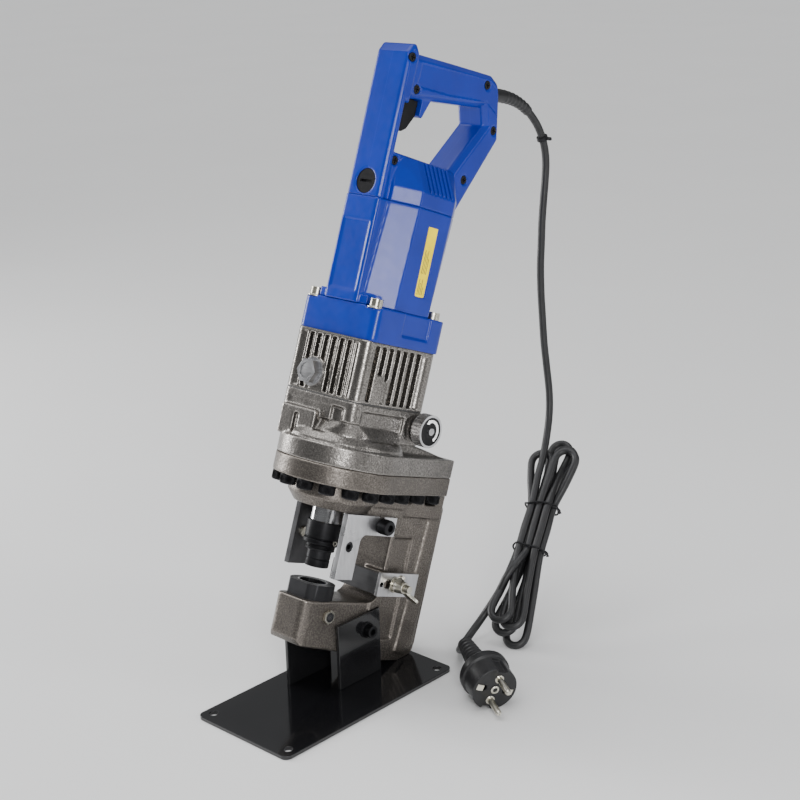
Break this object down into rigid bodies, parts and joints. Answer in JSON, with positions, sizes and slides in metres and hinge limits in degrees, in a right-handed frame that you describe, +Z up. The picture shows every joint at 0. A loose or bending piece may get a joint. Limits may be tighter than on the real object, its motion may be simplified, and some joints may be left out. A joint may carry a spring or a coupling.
{
  "type": "electric hydraulic hole punch",
  "caption": "Portable electric-hydraulic C-frame hole punch on a bench stand, with sliding ram, finned oil tank, loop handle with trigger and a hanked mains cord.",
  "frame": {"origin": "centre of the base plate at its underside, on the bench", "axes": "+Z up, -Y towards the jaw's open front, +X towards the operator's side with the release knob"},
  "size_m": [0.1995, 0.392, 0.4955],
  "materials": {
    "cast_frame": "sand-cast surface under a thin warm grey coat",
    "pump_casting": "sand-cast, bright silver grey",
    "tank_alloy": "die-cast, bright",
    "stand_black": "gloss black powder coat",
    "motor_blue": "gloss blue paint",
    "blue_plastic": "gloss blue moulding",
    "black_oxide": "black oxide",
    "plated_zinc": "zinc plated",
    "bright_steel": "ground",
    "chromed": "polished hard chrome",
    "dark_steel": "milled, darkened",
    "plate_steel": "bright milled",
    "bronze": "turned",
    "copper_winding": "varnished",
    "lamination": "varnished",
    "rubber_black": "satin",
    "black_plastic": "satin",
    "label_yellow": "printed film, no text",
    "carbon": "matt",
    "knob_metal": "knurled, bright"
  },
  "bodies": {
    "frame": {"base_plate": "stand_black", "left_cheek": "stand_black", "right_cheek": "stand_black", "cheek_screws": "black_oxide", "c_frame": "cast_frame", "die": "black_oxide", "die_set_screw": "plated_zinc", "rod_bush": "bronze", "return_spring": "bright_steel", "gauge_stud": "plated_zinc", "flange_bolts": "black_oxide", "cylinder_seal": "rubber_black", "pump_body": "pump_casting", "pump_plungers": "bright_steel", "oil_tank": "tank_alloy", "oil_plug": "bright_steel", "oil_bladder": "rubber_black", "motor_flange": "motor_blue", "motor_screws": "plated_zinc", "motor_housing": "motor_blue", "stator": "lamination", "rotor_bearings": "bright_steel", "brush_caps": "black_plastic", "brushes": "carbon", "rating_label": "label_yellow", "left_handle": "blue_plastic", "right_handle": "blue_plastic", "handle_screws": "black_oxide", "switch_body": "black_plastic", "strain_relief": "rubber_black", "cord_ties": "black_plastic", "power_cord": "rubber_black", "cord_hank": "rubber_black", "plug_body": "rubber_black", "plug_pins": "plated_zinc"},
    "ram": {"piston": "bright_steel", "piston_seal": "rubber_black", "piston_rod": "chromed", "punch_nut": "black_oxide", "punch_grub_screw": "plated_zinc", "punch": "black_oxide"},
    "left_stripper": {"left_stripper_plate": "dark_steel", "left_stripper_screw": "plated_zinc"},
    "right_stripper": {"right_stripper_plate": "plate_steel", "right_stripper_screw": "black_oxide"},
    "left_thumb": {"left_thumb_screw": "black_oxide"},
    "right_thumb": {"right_thumb_screw": "black_oxide"},
    "gauge": {"gauge_bar": "dark_steel", "gauge_bracket": "plate_steel"},
    "wing": {"wing_nut": "plated_zinc"},
    "release": {"release_spindle": "bright_steel", "release_knob": "knob_metal"},
    "trigger_lever": {"trigger": "black_plastic"},
    "armature": {"rotor": "copper_winding", "rotor_shaft": "bright_steel", "commutator": "copper_winding", "fan": "black_plastic"},
    "eccentric": {"drive_gear": "bright_steel", "eccentric_shaft": "bright_steel", "eccentric_bearing": "bright_steel"}
  },
  "joints": [
    {"name": "ram_stroke", "type": "slide", "parent": "frame", "child": "ram", "axis": [0, -0.3502, -0.9367], "range_m": [0, 0.018], "deforming": ["return_spring"]},
    {"name": "left_stripper_slide", "type": "slide", "parent": "frame", "child": "left_stripper", "axis": [0, 0.3502, 0.9367], "range_m": [-0.005, 0]},
    {"name": "right_stripper_slide", "type": "slide", "parent": "frame", "child": "right_stripper", "axis": [0, 0.3502, 0.9367], "range_m": [-0.005, 0]},
    {"name": "left_thumb_turn", "type": "hinge", "parent": "frame", "child": "left_thumb", "pos_m": [-0.045, 0.0493, 0.13162], "axis": [-1, 0, 0], "range_deg": [-180, 0]},
    {"name": "right_thumb_turn", "type": "hinge", "parent": "frame", "child": "right_thumb", "pos_m": [0.021, 0.0493, 0.13162], "axis": [1, 0, 0], "range_deg": [-180, 0]},
    {"name": "gauge_slide", "type": "slide", "parent": "frame", "child": "gauge", "axis": [0, 0.9367, -0.3502], "range_m": [-0.008, 0.004]},
    {"name": "wing_nut_turn", "type": "hinge", "parent": "frame", "child": "wing", "pos_m": [0.021, 0.06111, 0.07756], "axis": [1, 0, 0], "range_deg": [0, 180]},
    {"name": "release_turn", "type": "hinge", "parent": "frame", "child": "release", "pos_m": [0.034, 0.08404, 0.20457], "axis": [1, 0, 0], "range_deg": [0, 120]},
    {"name": "trigger_squeeze", "type": "slide", "parent": "frame", "child": "trigger_lever", "axis": [0, 0.3502, 0.9367], "range_m": [0, 0.005], "stiffness_N_per_m": 400, "springref_m": -0.002},
    {"name": "rotor_spin", "type": "hinge", "parent": "frame", "child": "armature", "pos_m": [-0.012, 0.08568, 0.32887], "axis": [0, 0.3502, 0.9367], "continuous": true},
    {"name": "eccentric_spin", "type": "hinge", "parent": "frame", "child": "eccentric", "pos_m": [-0.012, 0.07523, 0.23669], "axis": [0, 0.3502, 0.9367], "continuous": true}
  ],
  "couplings": [
    {"joint": "eccentric_spin", "follows": "rotor_spin", "ratio": -0.38461}
  ]
}
